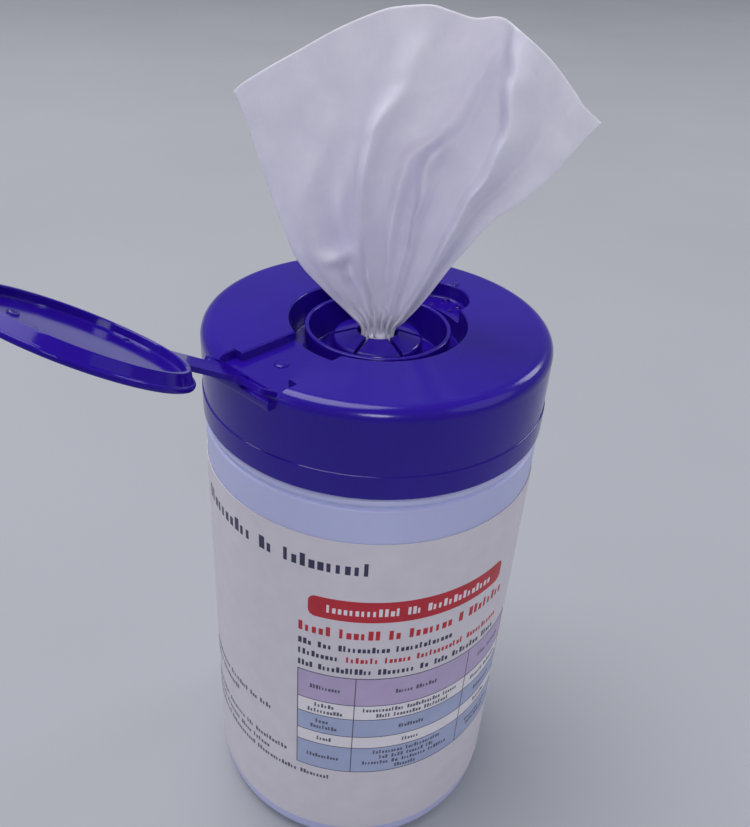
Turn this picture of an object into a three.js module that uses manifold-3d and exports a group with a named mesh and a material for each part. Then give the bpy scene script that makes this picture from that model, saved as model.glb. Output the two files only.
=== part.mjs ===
import * as THREE from 'three';
import { mergeVertices } from 'three/addons/utils/BufferGeometryUtils.js';
import Module from 'manifold-3d';

const wasm = await Module();
wasm.setup();

// Canister of moist wipes. Millimetres, Z up, origin at the centre of the base, front towards -Y.

// Overall sizes
const canisterRadius = 46.5;
const capProud = 0.5;
const skirtHeight = 24.5;
const roundSegments = 48;

// Clearances
const seatGap = 0.3;
const slideGap = 0.4;

// Canister walls, base and neck
const canisterWall = 1.3;
const baseThickness = 1.8;
const heelRadius = 5;
const basePadRadius = 11;
const baseRimWidth = 4.5;
const baseRecessDepth = 0.8;
const shoulderBeadHeight = 2.2;
const shoulderGrooveDepth = 0.9;
const neckWall = 1.5;
const neckBead = 0.7;
const neckBeadHeight = 2.4;

// Label wrapped round the canister
const labelThickness = 0.2;
const labelClearance = 0.1;
const labelBottom = 8;
const labelBelowCap = 14;
const labelSeam = 0.8;

// Cap walls
const skirtWall = 1.5;
const deckWall = 1.6;
const edgeRadius = 3.6;
const skirtBandHeight = 6.5;
const skirtBandStep = 0.3;
const snapBead = 0.5;
const snapBeadHeight = 2;
const wellLip = 0.5;

// Round well, spout ring and star orifice in the cap
const wellWall = 1.4;
const grooveWidth = 4.1;
const grooveDepth = 9.5;
const ringRadius = 19.6;
const ringWall = 1.2;
const ringBelowDeck = 2;
const starFloorDepth = 12;
const starFootRadius = 12.8;
const starShoulderRadius = 11.6;
const starShoulderDepth = 5.2;
const starTipDepth = 3.5;
const petalBend = 0.4;
const petalBendDrop = 1;
const tipLand = 1;
const tipDrop = 0.3;
const orificeRadius = 5.2;
const petalCount = 6;
const petalSlot = 1.2;
const firstSlotAngle = 3;

// Hinge channel and finger scoop in the deck
const hingeAngle = 229;
const hingeInset = 1.8;
const channelDepth = 2.3;
const channelHalfWidth = 8.4;
const channelWall = 1.4;
const notchSideGap = 0.7;
const hingeLipDrop = 2.2;
const hingeLipProud = 0.7;
const hingeLipBelowChannel = 0.1;
const scoopAngle = 47;
const scoopRadius = 10.5;
const scoopInset = 2.2;
const scoopDepth = 4.5;

// Flip lid
const lidOpening = 148.2;
const lidRimGap = 0.9;
const lidPlate = 1.3;
const lidHeight = 3.4;
const lidSkirtWall = 1.1;
const lidFit = 0.3;
const lidProud = 0.6;
const strapThickness = 1.2;
const strapHalfWidth = 5;
const strapFlare = 4;
const hingeBarHalfWidth = 10.3;
const hingeBarLength = 5.2;
const hingeBand = 1.4;
const filmLength = 0.8;
const tongueHalfWidth = 1.4;
const gussetSpread = 3.2;

// Roll of wipes
const wipeWidth = 150;
const rollRoom = 2.4;
const rollTopGap = 0.5;
const coreRadius = 12;
const turnPitch = 2.8;
const turnGroove = 0.5;

// Pulled wipe
const sheetThickness = 0.7;
const tailDepth = 30;
const tailRadius = 3;
const rootGap = 0.9;
const rootBelowTips = 2.5;
const bunchBelowTips = 1.5;
const bunchAboveTips = 1;
const bunchTaper = 2;
const sheetColumns = 34;
const sheetRows = 16;

// Levels and radii that follow from the sizes above
const rollBottom = baseThickness + baseRecessDepth + seatGap;
const capTop = rollBottom + wipeWidth + rollTopGap + deckWall + starFloorDepth;
const capRadius = canisterRadius + capProud;
const capBottom = capTop - skirtHeight;
const cornerThickness = channelDepth + channelWall;
const skirtInner = capRadius - skirtWall;
const neckRadius = skirtInner - snapBead - slideGap - neckBead;
const baseRecessRadius = canisterRadius - heelRadius - baseRimWidth;
const neckTop = capTop - cornerThickness - seatGap;
const shoulderTop = capBottom - seatGap;
const starFloor = capTop - starFloorDepth;
const cornerInner = neckRadius - neckWall - slideGap;
const wellRadius = ringRadius + grooveWidth;
const scoopCentre = wellRadius - scoopInset;
const lidPlateRadius = wellRadius - lidRimGap;
const hingeRadius = capRadius - hingeInset;
const hingeLevel = capTop - channelDepth + strapThickness;
const notchHalfWidth = hingeBarHalfWidth + notchSideGap;
const labelTop = capBottom - labelBelowCap;
const rollRadius = neckRadius - neckWall - rollRoom;
const orificeLevel = capTop - starTipDepth;

const inRadians = THREE.MathUtils.degToRad;

// A closed triangle mesh with shared vertices, ready to be joined or cut
function solidOf(geometry) {
  const bare = geometry.clone();
  bare.deleteAttribute('normal');
  bare.deleteAttribute('uv');
  const merged = mergeVertices(bare);
  const index = merged.index.array;
  const triangles = [];
  for (let i = 0; i < index.length; i += 3) {
    const [a, b, c] = [index[i], index[i + 1], index[i + 2]];
    if (a !== b && b !== c && c !== a) {
      triangles.push(a, b, c);
    }
  }
  return new wasm.Manifold(new wasm.Mesh({
    numProp: 3,
    vertProperties: merged.attributes.position.array,
    triVerts: new Uint32Array(triangles),
  }));
}

function geometryOf(solid) {
  const mesh = solid.getMesh();
  const geometry = new THREE.BufferGeometry();
  geometry.setAttribute('position', new THREE.BufferAttribute(mesh.vertProperties, 3));
  geometry.setIndex(new THREE.BufferAttribute(mesh.triVerts, 1));
  geometry.computeVertexNormals();
  return geometry;
}

// Profile of [radius, height] pairs, anticlockwise, turned about the Z axis
function revolved(profile) {
  const points = profile.map(([radius, height]) => new THREE.Vector2(radius, height));
  const onAxis = points[0].x === 0 && points[points.length - 1].x === 0;
  if (!onAxis) {
    points.push(points[0].clone());
  }
  return solidOf(new THREE.LatheGeometry(points, roundSegments).rotateX(Math.PI / 2));
}

// Points of a circular arc in a profile, angles in degrees
function arc(centreRadius, centreHeight, radius, from, to, steps) {
  const points = [];
  for (let i = 0; i <= steps; i += 1) {
    const angle = inRadians(from + (to - from) * i / steps);
    points.push([centreRadius + radius * Math.cos(angle), centreHeight + radius * Math.sin(angle)]);
  }
  return points;
}

// Box between two corners, turned about the Z axis by an angle in degrees
function block([x0, y0, z0], [x1, y1, z1], angle = 0) {
  const box = new THREE.BoxGeometry(x1 - x0, y1 - y0, z1 - z0);
  box.translate((x0 + x1) / 2, (y0 + y1) / 2, (z0 + z1) / 2);
  return solidOf(box.rotateZ(inRadians(angle)));
}

// Upright cylinder whose axis stands at a distance and an angle from the Z axis
function drum(radius, bottom, top, distance = 0, angle = 0) {
  const cylinder = new THREE.CylinderGeometry(radius, radius, top - bottom, roundSegments);
  cylinder.rotateX(Math.PI / 2);
  cylinder.translate(distance, 0, (bottom + top) / 2);
  return solidOf(cylinder.rotateZ(inRadians(angle)));
}

function part(name, geometry, color, roughness) {
  const material = new THREE.MeshStandardMaterial({ color, roughness, metalness: 0 });
  const mesh = new THREE.Mesh(geometry, material);
  mesh.name = name;
  return mesh;
}

function makeCanister() {
  const inner = canisterRadius - canisterWall;
  const innerHeel = heelRadius - canisterWall;
  const floor = baseThickness + baseRecessDepth;
  const beadBottom = shoulderTop - shoulderBeadHeight;
  const grooveBottom = beadBottom - 2 * shoulderGrooveDepth;
  const beadMiddle = (capBottom + capTop - skirtBandHeight) / 2;
  const profile = [
    [0, 0],
    [basePadRadius, 0],
    [basePadRadius + baseRecessDepth, baseRecessDepth],
    [baseRecessRadius, baseRecessDepth],
    [baseRecessRadius + baseRecessDepth, 0],
    ...arc(canisterRadius - heelRadius, heelRadius, heelRadius, -90, 0, 5),
    [canisterRadius, grooveBottom],
    [canisterRadius - shoulderGrooveDepth, beadBottom - shoulderGrooveDepth],
    [canisterRadius - shoulderGrooveDepth / 3, beadBottom],
    [canisterRadius, beadBottom + shoulderGrooveDepth],
    [canisterRadius, shoulderTop - shoulderGrooveDepth],
    [canisterRadius - shoulderGrooveDepth, shoulderTop],
    [neckRadius, shoulderTop],
    [neckRadius, beadMiddle - neckBeadHeight / 2],
    [neckRadius + neckBead, beadMiddle - neckBeadHeight / 6],
    [neckRadius + neckBead, beadMiddle + neckBeadHeight / 6],
    [neckRadius, beadMiddle + neckBeadHeight / 2],
    [neckRadius, neckTop],
    [neckRadius - neckWall, neckTop],
    [neckRadius - neckWall, shoulderTop - canisterWall],
    [inner, grooveBottom - canisterWall],
    ...arc(inner - innerHeel, floor + innerHeel, innerHeel, 0, -90, 4),
    [0, floor],
  ];
  return part('canister', geometryOf(revolved(profile)), 0xd3d6e6, 0.4);
}

function makeLabel() {
  const inner = canisterRadius + labelClearance;
  const outer = inner + labelThickness;
  const half = labelSeam / 2 / inner;
  const outline = new THREE.Shape();
  outline.absarc(0, 0, outer, Math.PI / 2 + half, Math.PI * 2.5 - half, false);
  outline.absarc(0, 0, inner, Math.PI * 2.5 - half, Math.PI / 2 + half, true);
  const wrap = new THREE.ExtrudeGeometry(outline, {
    depth: labelTop - labelBottom,
    bevelEnabled: false,
    curveSegments: roundSegments * 2,
  });
  wrap.translate(0, 0, labelBottom);
  return part('label', geometryOf(solidOf(wrap)), 0xdad8dc, 0.5);
}

// Cap: skirt, deck, well, ring and domed star as one turned shell
function capShell() {
  const upperRadius = capRadius - skirtBandStep;
  const bandTop = capBottom + skirtBandHeight;
  const beadMiddle = capBottom + skirtBandHeight / 2;
  const ringInner = ringRadius - ringWall;
  const ringTop = capTop - ringBelowDeck;
  const wellFloor = capTop - grooveDepth;
  const shoulderLevel = capTop - starShoulderDepth;
  const deckUnderside = capTop - deckWall;
  const cornerUnderside = capTop - cornerThickness;
  return revolved([
    [capRadius, capBottom],
    [capRadius, bandTop],
    [upperRadius, bandTop + skirtBandStep],
    ...arc(upperRadius - edgeRadius, capTop - edgeRadius, edgeRadius, 0, 90, 5),
    ...arc(wellRadius + wellLip, capTop - wellLip, wellLip, 90, 180, 2),
    [wellRadius, wellFloor],
    [ringRadius, wellFloor],
    [ringRadius, ringTop - ringWall / 3],
    [ringRadius - ringWall / 3, ringTop],
    [ringInner + ringWall / 3, ringTop],
    [ringInner, ringTop - ringWall / 3],
    [ringInner, starFloor],
    [starFootRadius, starFloor],
    [starShoulderRadius + petalBend, shoulderLevel - petalBendDrop],
    [starShoulderRadius, shoulderLevel],
    [orificeRadius + tipLand, orificeLevel],
    [orificeRadius, orificeLevel - tipDrop],
    [orificeRadius, orificeLevel - ringWall],
    [starShoulderRadius - ringWall, shoulderLevel - ringWall],
    [starFootRadius - ringWall, starFloor - deckWall],
    [ringRadius + ringWall, starFloor - deckWall],
    [ringRadius + ringWall, wellFloor - wellWall],
    [wellRadius + wellWall, wellFloor - wellWall],
    [wellRadius + wellWall, deckUnderside],
    [cornerInner, deckUnderside],
    [cornerInner, cornerUnderside],
    [skirtInner, cornerUnderside],
    [skirtInner, beadMiddle + snapBeadHeight],
    [skirtInner - snapBead, beadMiddle + snapBeadHeight / 3],
    [skirtInner - snapBead, beadMiddle - snapBeadHeight / 3],
    [skirtInner, beadMiddle - snapBeadHeight],
    [skirtInner, capBottom],
  ]);
}

function makeCap() {
  const above = capTop + 1;
  const beyond = capRadius + 2;
  const wellCore = drum(wellRadius + wellWall / 2, capBottom, above);
  const channelFloor = capTop - channelDepth;
  const notchInner = hingeRadius - hingeBarLength - slideGap;

  // Material under the channel and round the finger scoop, kept out of the well
  const channelBack = block(
    [ringRadius, -channelHalfWidth - channelWall, capTop - cornerThickness],
    [cornerInner + 1, channelHalfWidth + channelWall, capTop - deckWall / 2],
    hingeAngle,
  );
  const notchBack = block(
    [notchInner - channelWall, -notchHalfWidth - channelWall, capTop - cornerThickness],
    [cornerInner + 1, notchHalfWidth + channelWall, capTop - deckWall / 2],
    hingeAngle,
  );
  const scoopFloor = capTop - scoopDepth;
  const scoopBack = drum(
    scoopRadius + wellWall,
    scoopFloor - wellWall,
    capTop - deckWall / 2,
    scoopCentre,
    scoopAngle,
  );
  const backing = channelBack.add(notchBack).add(scoopBack).subtract(wellCore);

  // Rounded lip on the skirt below the hinge
  const lipTop = channelFloor - hingeLipBelowChannel;
  const lip = block(
    [skirtInner, -hingeBarHalfWidth, lipTop - hingeLipDrop],
    [capRadius + hingeLipProud, hingeBarHalfWidth, lipTop],
    hingeAngle,
  );

  let cap = capShell().add(backing).add(lip);

  const channel = block(
    [ringRadius + wellWall, -channelHalfWidth, channelFloor],
    [beyond, channelHalfWidth, above],
    hingeAngle,
  );
  const notch = block(
    [notchInner, -notchHalfWidth, channelFloor],
    [beyond, notchHalfWidth, above],
    hingeAngle,
  );
  const ringKeep = drum((ringRadius + wellRadius) / 2, capBottom, above);
  const scoop = drum(scoopRadius, scoopFloor, above, scoopCentre, scoopAngle).subtract(ringKeep);
  cap = cap.subtract(channel).subtract(notch).subtract(scoop);

  // Slots that part the petals of the star
  for (let i = 0; i < petalCount; i += 1) {
    const slot = block(
      [orificeRadius / 2, -petalSlot / 2, starFloor + seatGap],
      [starFootRadius + ringWall, petalSlot / 2, capTop],
      firstSlotAngle + i * 360 / petalCount,
    );
    cap = cap.subtract(slot);
  }
  return part('cap', geometryOf(cap), 0x2b1f9a, 0.3);
}

// Lid as it lies when shut: X runs from the axis of the cap out to the hinge
function shutLid() {
  const top = capTop + lidProud;
  const plateUnderside = top - lidPlate;
  const skirtInnerRadius = ringRadius + lidFit;
  const skirtOuterRadius = skirtInnerRadius + lidSkirtWall;
  const cup = revolved([
    [0, plateUnderside],
    [skirtInnerRadius, plateUnderside],
    [skirtInnerRadius, top - lidHeight],
    [skirtOuterRadius, top - lidHeight],
    [skirtOuterRadius, plateUnderside],
    [lidPlateRadius, plateUnderside],
    [lidPlateRadius, top - lidPlate / 3],
    [lidPlateRadius - lidPlate / 3, top],
    [0, top],
  ]);

  // Strap with a wide hinge bar; two windows leave side films and a middle tongue
  const barInner = hingeRadius - hingeBarLength;
  const flareStart = barInner - strapFlare;
  const outline = new THREE.Shape();
  outline.moveTo(skirtOuterRadius - lidSkirtWall / 2, -strapHalfWidth);
  outline.lineTo(flareStart, -strapHalfWidth);
  outline.quadraticCurveTo(barInner, -strapHalfWidth, barInner, -channelHalfWidth + slideGap);
  outline.lineTo(barInner + slideGap, -hingeBarHalfWidth);
  outline.lineTo(hingeRadius, -hingeBarHalfWidth);
  outline.lineTo(hingeRadius, hingeBarHalfWidth);
  outline.lineTo(barInner + slideGap, hingeBarHalfWidth);
  outline.lineTo(barInner, channelHalfWidth - slideGap);
  outline.quadraticCurveTo(barInner, strapHalfWidth, flareStart, strapHalfWidth);
  outline.lineTo(skirtOuterRadius - lidSkirtWall / 2, strapHalfWidth);
  outline.closePath();
  for (const side of [-1, 1]) {
    const near = side * tongueHalfWidth;
    const far = side * (hingeBarHalfWidth - hingeBand);
    const window = new THREE.Path();
    window.moveTo(barInner + hingeBand, near);
    window.lineTo(hingeRadius - filmLength, near);
    window.lineTo(hingeRadius - filmLength, far);
    window.lineTo(barInner + hingeBand, far);
    window.closePath();
    outline.holes.push(window);
  }
  const strap = new THREE.ExtrudeGeometry(outline, {
    depth: strapThickness,
    bevelEnabled: false,
    curveSegments: 6,
  });
  strap.translate(0, 0, hingeLevel - strapThickness / 2);

  // Rounded edge of the strap on the hinge axis
  const bead = new THREE.CylinderGeometry(
    strapThickness / 2,
    strapThickness / 2,
    2 * hingeBarHalfWidth,
    16,
  );
  bead.translate(hingeRadius, 0, hingeLevel);

  // Gussets between the lid's wall and its rim, beside the strap
  let lid = cup.add(solidOf(strap)).add(solidOf(bead));
  for (const side of [-1, 1]) {
    const triangle = new THREE.Shape();
    triangle.moveTo(skirtOuterRadius - lidSkirtWall / 2, plateUnderside + lidPlate / 2);
    triangle.lineTo(lidPlateRadius, plateUnderside + lidPlate / 2);
    triangle.lineTo(lidPlateRadius, plateUnderside);
    triangle.lineTo(skirtOuterRadius, top - lidHeight + lidSkirtWall / 2);
    triangle.lineTo(skirtOuterRadius - lidSkirtWall / 2, top - lidHeight + lidSkirtWall / 2);
    triangle.closePath();
    const gusset = new THREE.ExtrudeGeometry(triangle, { depth: lidSkirtWall, bevelEnabled: false });
    gusset.translate(0, 0, -lidSkirtWall / 2);
    gusset.rotateX(Math.PI / 2);
    const turn = side * (strapHalfWidth + gussetSpread) / skirtOuterRadius;
    lid = lid.add(solidOf(gusset.rotateZ(turn)));
  }
  return geometryOf(lid);
}

// Lid swung open about its hinge axis
function makeLid() {
  const lid = part('flip_lid', shutLid(), 0x2d209c, 0.32);
  lid.position.set(-hingeRadius, 0, -hingeLevel);
  const swing = new THREE.Group();
  swing.position.set(hingeRadius, 0, hingeLevel);
  swing.rotation.y = inRadians(lidOpening);
  swing.add(lid);
  const side = new THREE.Group();
  side.rotation.z = inRadians(hingeAngle);
  side.add(swing);
  return side;
}

// Roll wound round an open core; its turns show as rings on both ends
function makeRoll() {
  const top = rollBottom + wipeWidth;
  const turns = Math.round((rollRadius - coreRadius) / turnPitch);
  const pitch = (rollRadius - coreRadius) / turns;
  const profile = [[coreRadius, rollBottom], [rollRadius, rollBottom]];
  for (let i = 0; i < turns; i += 1) {
    const outer = rollRadius - i * pitch;
    profile.push([outer, top - turnGroove]);
    profile.push([outer - pitch / 2, top]);
  }
  profile.push([coreRadius, top - turnGroove]);
  return part('wipes_roll', geometryOf(revolved(profile)), 0xdedde6, 0.9);
}

// Outline of the fan as seen from the front: across from the axis, and height above the deck
const fanRootLeft = [rootGap - orificeRadius, -starTipDepth - rootBelowTips];
const fanRootRight = [orificeRadius - rootGap, -starTipDepth - rootBelowTips];
const fanTopLeft = [-36.8, 54.7];
const fanTopRight = [48.4, 53.2];
const fanLeft = [fanRootLeft, [-4.7, -3], [-9.4, 0.5], [-16, 7], [-21.6, 14.5], [-25.9, 24.5], [-29.2, 33.5],
  [-32.2, 43], [-34.9, 50.8], fanTopLeft];
const fanRight = [fanRootRight, [4.8, -3], [8.6, -0.4], [13.2, 6], [18.4, 16], [21.9, 22], [26.5, 28.2],
  [33, 33.6], [40, 41.6], [45.6, 49.8], fanTopRight];
const fanTop = [fanTopLeft, [-32.9, 57.8], [-21.5, 64.6], [-13.2, 69.4], [-6.3, 72.6], [-1, 74.4],
  [6.6, 75.3], [11, 74.5], [16.6, 73.3], [21.9, 73.8], [25.5, 72.2], [34.2, 66.2], [41, 59.6],
  [43.6, 56.8], fanTopRight];

// Folds that run from the orifice to the free edge: place across, half width, height at root and at free edge
const folds = [
  [0.02, 0.07, -0.4, -3],
  [0.2, 0.13, 0.8, 5],
  [0.325, 0.05, -1.6, -5],
  [0.4, 0.05, 1.8, 6],
  [0.475, 0.045, -1.8, -6.5],
  [0.56, 0.055, 1.7, 6.5],
  [0.655, 0.05, -1.7, -7],
  [0.735, 0.035, 1.8, 7.5],
  [0.8, 0.045, -1.2, -4],
  [0.93, 0.09, 0.6, 4.5],
];

// The folds stand out towards a point in front of the pack and above it
const focusAhead = 196;
const focusAboveDeck = 95;
const foldFocus = new THREE.Vector3(0, -focusAhead, capTop + focusAboveDeck);

function curveThrough(points) {
  const placed = points.map(([across, height]) => new THREE.Vector3(across, 0, capTop + height));
  return new THREE.CatmullRomCurve3(placed, false, 'centripetal');
}

const leftEdge = curveThrough(fanLeft);
const rightEdge = curveThrough(fanRight);
const topEdge = curveThrough(fanTop);
const rootEdge = curveThrough([fanRootLeft, fanRootRight]);

// Point of the sheet: across runs from the left edge to the right, along from the orifice to the free edge
function sheetPoint(across, along) {
  const left = leftEdge.getPointAt(along);
  const right = rightEdge.getPointAt(along);
  const top = topEdge.getPointAt(across);
  const root = rootEdge.getPointAt(across);
  const blend = (a, b, t) => a.clone().lerp(b, t);
  const sides = blend(left, right, across);
  const ends = blend(root, top, along);
  const corners = blend(blend(fanCorner.rootLeft, fanCorner.rootRight, across),
    blend(fanCorner.topLeft, fanCorner.topRight, across), along);
  const point = sides.add(ends).sub(corners);
  let height = 0;
  for (const [place, halfWidth, atRoot, atEdge] of folds) {
    const away = (across - place) / halfWidth;
    height += THREE.MathUtils.lerp(atRoot, atEdge, along) * Math.exp(-away * away);
  }
  const outward = foldFocus.clone().sub(point).normalize();
  return point.addScaledVector(outward, height);
}

const fanCorner = {
  rootLeft: leftEdge.getPointAt(0),
  rootRight: rightEdge.getPointAt(0),
  topLeft: leftEdge.getPointAt(1),
  topRight: rightEdge.getPointAt(1),
};

// Closed thin shell on both sides of the sheet's middle surface
function sheetSolid() {
  const step = 1e-3;
  const positions = [];
  const clampStep = (value) => [Math.max(0, value - step), Math.min(1, value + step)];
  for (const face of [1, -1]) {
    for (let j = 0; j <= sheetRows; j += 1) {
      for (let i = 0; i <= sheetColumns; i += 1) {
        const across = i / sheetColumns;
        const along = j / sheetRows;
        const [a0, a1] = clampStep(across);
        const [b0, b1] = clampStep(along);
        const acrossward = sheetPoint(a1, along).sub(sheetPoint(a0, along));
        const alongward = sheetPoint(across, b1).sub(sheetPoint(across, b0));
        const normal = acrossward.cross(alongward).normalize();
        const point = sheetPoint(across, along).addScaledVector(normal, face * sheetThickness / 2);
        positions.push(point.x, point.y, point.z);
      }
    }
  }
  const last = sheetColumns;
  const perRow = sheetColumns + 1;
  const perFace = perRow * (sheetRows + 1);
  const at = (face, i, j) => face * perFace + j * perRow + i;
  const index = [];
  const quad = (a, b, c, d) => index.push(a, b, c, a, c, d);
  for (let j = 0; j < sheetRows; j += 1) {
    for (let i = 0; i < sheetColumns; i += 1) {
      quad(at(0, i, j), at(0, i + 1, j), at(0, i + 1, j + 1), at(0, i, j + 1));
      quad(at(1, i, j), at(1, i, j + 1), at(1, i + 1, j + 1), at(1, i + 1, j));
    }
  }
  for (let i = 0; i < sheetColumns; i += 1) {
    quad(at(1, i, 0), at(1, i + 1, 0), at(0, i + 1, 0), at(0, i, 0));
    quad(at(0, i, sheetRows), at(0, i + 1, sheetRows), at(1, i + 1, sheetRows), at(1, i, sheetRows));
  }
  for (let j = 0; j < sheetRows; j += 1) {
    quad(at(0, 0, j), at(0, 0, j + 1), at(1, 0, j + 1), at(1, 0, j));
    quad(at(1, last, j), at(1, last, j + 1), at(0, last, j + 1), at(0, last, j));
  }
  const geometry = new THREE.BufferGeometry();
  geometry.setAttribute('position', new THREE.Float32BufferAttribute(positions, 3));
  geometry.setIndex(index);
  return solidOf(geometry);
}

// Fan above the orifice and the gathered tail that hangs below it into the core of the roll
function makeWipe() {
  const bottom = capTop - tailDepth;
  const gather = new THREE.LatheGeometry([
    new THREE.Vector2(0, bottom),
    new THREE.Vector2(tailRadius * 0.8, bottom),
    new THREE.Vector2(tailRadius, bottom + tailRadius),
    new THREE.Vector2(tailRadius, starFloor),
    new THREE.Vector2(orificeRadius - slideGap, orificeLevel - bunchBelowTips),
    new THREE.Vector2(orificeRadius - slideGap, orificeLevel + bunchAboveTips),
    new THREE.Vector2(tailRadius, orificeLevel + bunchAboveTips + bunchTaper),
    new THREE.Vector2(0, orificeLevel + bunchAboveTips + bunchTaper * 1.25),
  ], 24).rotateX(Math.PI / 2);
  const wipe = sheetSolid().add(solidOf(gather));
  return part('pulled_wipe', geometryOf(wipe), 0xdcdae6, 0.95);
}

const pack = new THREE.Group();
pack.add(makeCanister(), makeLabel(), makeCap(), makeLid(), makeRoll(), makeWipe());

export default pack;
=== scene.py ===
import math
import random

import bpy
from mathutils import Matrix, Vector, noise


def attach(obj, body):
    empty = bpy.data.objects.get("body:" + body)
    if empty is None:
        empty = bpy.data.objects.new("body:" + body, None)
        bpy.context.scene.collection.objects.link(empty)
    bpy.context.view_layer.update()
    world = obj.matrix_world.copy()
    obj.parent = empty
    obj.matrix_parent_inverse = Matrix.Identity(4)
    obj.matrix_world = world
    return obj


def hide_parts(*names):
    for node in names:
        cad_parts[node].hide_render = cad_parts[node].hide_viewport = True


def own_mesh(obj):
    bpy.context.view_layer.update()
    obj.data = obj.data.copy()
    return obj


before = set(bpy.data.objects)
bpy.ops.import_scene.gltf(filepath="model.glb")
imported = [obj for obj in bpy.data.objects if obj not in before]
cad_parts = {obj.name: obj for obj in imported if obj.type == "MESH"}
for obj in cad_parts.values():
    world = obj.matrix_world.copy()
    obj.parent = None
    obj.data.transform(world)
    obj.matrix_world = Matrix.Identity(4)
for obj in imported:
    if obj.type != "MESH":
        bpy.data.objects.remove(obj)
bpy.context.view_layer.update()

# Lengths below are millimetres; a mesh is stored in metres.
MM = 0.001

# Sizes shared with the solids
CANISTER_RADIUS = 46.5
CAP_RADIUS = 47.0
CAP_TOP = 167.0
CAP_BOTTOM = 142.5
LABEL_BOTTOM = 8.0
LABEL_TOP = 128.5
LABEL_RADIUS = 46.8
RING_RADIUS = 19.6
WELL_RADIUS = 23.7
HINGE_ANGLE = 229.0
HINGE_RADIUS = 45.2
HINGE_LEVEL = 165.9
LID_OPENING = 148.2
LID_HEIGHT = 3.4
LID_TOP = CAP_TOP + 0.6
LID_PLATE_LEVEL = LID_TOP - 1.3
CHANNEL_FLOOR = CAP_TOP - 2.3
SCOOP_FLOOR = CAP_TOP - 4.5

# Segments of a full turn in the large round pieces
ROUND = 192

# Camera of the photograph: place, heading and roll, with its lens on a 36 mm high frame
CAMERA_PLACE = (0.0, -196.5, 262.0)
CAMERA_PITCH = 32.53
CAMERA_YAW = 0.235
CAMERA_ROLL = 3.955
CAMERA_LENS = 35.48


# Camera

def make_camera():
    pitch, yaw, roll = (math.radians(a) for a in (CAMERA_PITCH, CAMERA_YAW, CAMERA_ROLL))
    forward = Vector((math.sin(yaw) * math.cos(pitch), math.cos(yaw) * math.cos(pitch), -math.sin(pitch)))
    level = forward.cross(Vector((0, 0, 1))).normalized()
    upright = level.cross(forward)
    right = math.cos(roll) * level + math.sin(roll) * upright
    up = -math.sin(roll) * level + math.cos(roll) * upright
    data = bpy.data.cameras.new("camera")
    data.sensor_fit = "VERTICAL"
    data.sensor_height = 36.0
    data.lens = CAMERA_LENS
    data.clip_start = 0.01
    camera = bpy.data.objects.new("camera", data)
    bpy.context.scene.collection.objects.link(camera)
    turn = Matrix((right, up, -forward)).transposed().to_4x4()
    camera.matrix_world = Matrix.Translation(Vector(CAMERA_PLACE) * MM) @ turn
    bpy.context.scene.camera = camera
    bpy.context.scene.view_settings.view_transform = "Standard"


# Mesh helpers

def mesh_object(name, vertices, faces, scale=MM):
    mesh = bpy.data.meshes.new(name)
    mesh.from_pydata([(x * scale, y * scale, z * scale) for x, y, z in vertices], [], faces)
    mesh.validate()
    mesh.update()
    item = bpy.data.objects.new(name, mesh)
    bpy.context.scene.collection.objects.link(item)
    return item


def arc(centre_radius, centre_height, radius, start, end, steps):
    """Points of a circular arc in a profile, angles in degrees."""
    points = []
    for i in range(steps + 1):
        angle = math.radians(start + (end - start) * i / steps)
        points.append((centre_radius + radius * math.cos(angle), centre_height + radius * math.sin(angle)))
    return points


def revolved(name, profile, segments=ROUND):
    """An anticlockwise profile of (radius, height) turned about the Z axis."""
    vertices, rings, faces = [], [], []
    for radius, height in profile:
        if radius == 0:
            rings.append([len(vertices)] * segments)
            vertices.append((0, 0, height))
            continue
        rings.append([len(vertices) + i for i in range(segments)])
        for i in range(segments):
            angle = 2 * math.pi * i / segments
            vertices.append((radius * math.cos(angle), radius * math.sin(angle), height))
    closed = profile[0][0] != 0 or profile[-1][0] != 0
    pairs = list(zip(rings, rings[1:])) + ([(rings[-1], rings[0])] if closed else [])
    for low, high in pairs:
        for i in range(segments):
            j = (i + 1) % segments
            corners = list(dict.fromkeys((low[i], low[j], high[j], high[i])))
            if len(corners) > 2:
                faces.append(corners)
    return mesh_object(name, vertices, faces)


def prism(name, outline, start, end, axis="z"):
    """An anticlockwise outline pulled from start to end along z, or a (y, z) outline along x."""
    def place(a, b, c):
        return (c, a, b) if axis == "x" else (a, b, c)

    count = len(outline)
    vertices = [place(a, b, start) for a, b in outline] + [place(a, b, end) for a, b in outline]
    faces = [list(reversed(range(count))), list(range(count, 2 * count))]
    for i in range(count):
        j = (i + 1) % count
        faces.append([i, j, count + j, count + i])
    return mesh_object(name, vertices, faces)


def turned(item, angle):
    item.data.transform(Matrix.Rotation(math.radians(angle), 4, "Z"))
    return item


def combine(item, other, operation):
    """Joins or cuts item with another closed mesh, which is used up."""
    step = item.modifiers.new("combine", "BOOLEAN")
    step.operation = operation
    step.solver = "EXACT"
    step.object = other
    graph = bpy.context.evaluated_depsgraph_get()
    made = bpy.data.meshes.new_from_object(item.evaluated_get(graph))
    item.modifiers.clear()
    item.data = made
    bpy.data.objects.remove(other)
    return item


def finish_surface(item, angle=32.0):
    """Smooth shading with true edges kept crisp and flat faces kept flat."""
    for face in item.data.polygons:
        face.use_smooth = True
    item.data.set_sharp_from_angle(angle=math.radians(angle))
    step = item.modifiers.new("weighted", "WEIGHTED_NORMAL")
    step.keep_sharp = True
    step.mode = "FACE_AREA"
    graph = bpy.context.evaluated_depsgraph_get()
    made = bpy.data.meshes.new_from_object(item.evaluated_get(graph))
    item.modifiers.clear()
    item.data = made
    return item


def give(item, material, body, slot, *nodes):
    item.data.materials.clear()
    item.data.materials.append(material)
    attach(item, body)
    if nodes:
        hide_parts(*nodes)
    return item


# Materials

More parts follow.
